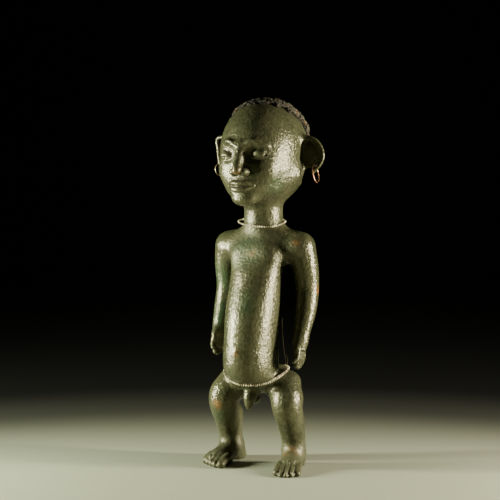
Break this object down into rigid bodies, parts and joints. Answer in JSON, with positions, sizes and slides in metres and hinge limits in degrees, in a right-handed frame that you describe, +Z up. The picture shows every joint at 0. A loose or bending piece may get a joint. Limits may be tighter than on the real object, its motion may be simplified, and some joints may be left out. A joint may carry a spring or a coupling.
{
  "type": "ancestor figure",
  "caption": "Carved hardwood standing male figure with a long neck, broad C-shaped ears, free arms, round belly and short flexed legs; bead strings, wire earrings and applied hair.",
  "frame": {"origin": "on the floor under the middle of the figure's outline, between the soles", "axes": "+Z up, the figure faces -Y and its left side is +X"},
  "size_m": [0.1472, 0.1401, 0.4412],
  "materials": {
    "wood": "dark glossy olive-brown patina",
    "hair": "matt granular crust",
    "beads": "opaque cream seed beads",
    "thread": "stiff waxed fibre",
    "copper": "tarnished copper wire",
    "brass": "pale worn brass wire"
  },
  "bodies": {
    "root": {"figure": "wood", "hair": "hair", "necklace": "beads", "waist_beads": "beads", "waist_string_end": "thread", "earring_left": "copper", "earring_right": "brass"}
  },
  "joints": []
}
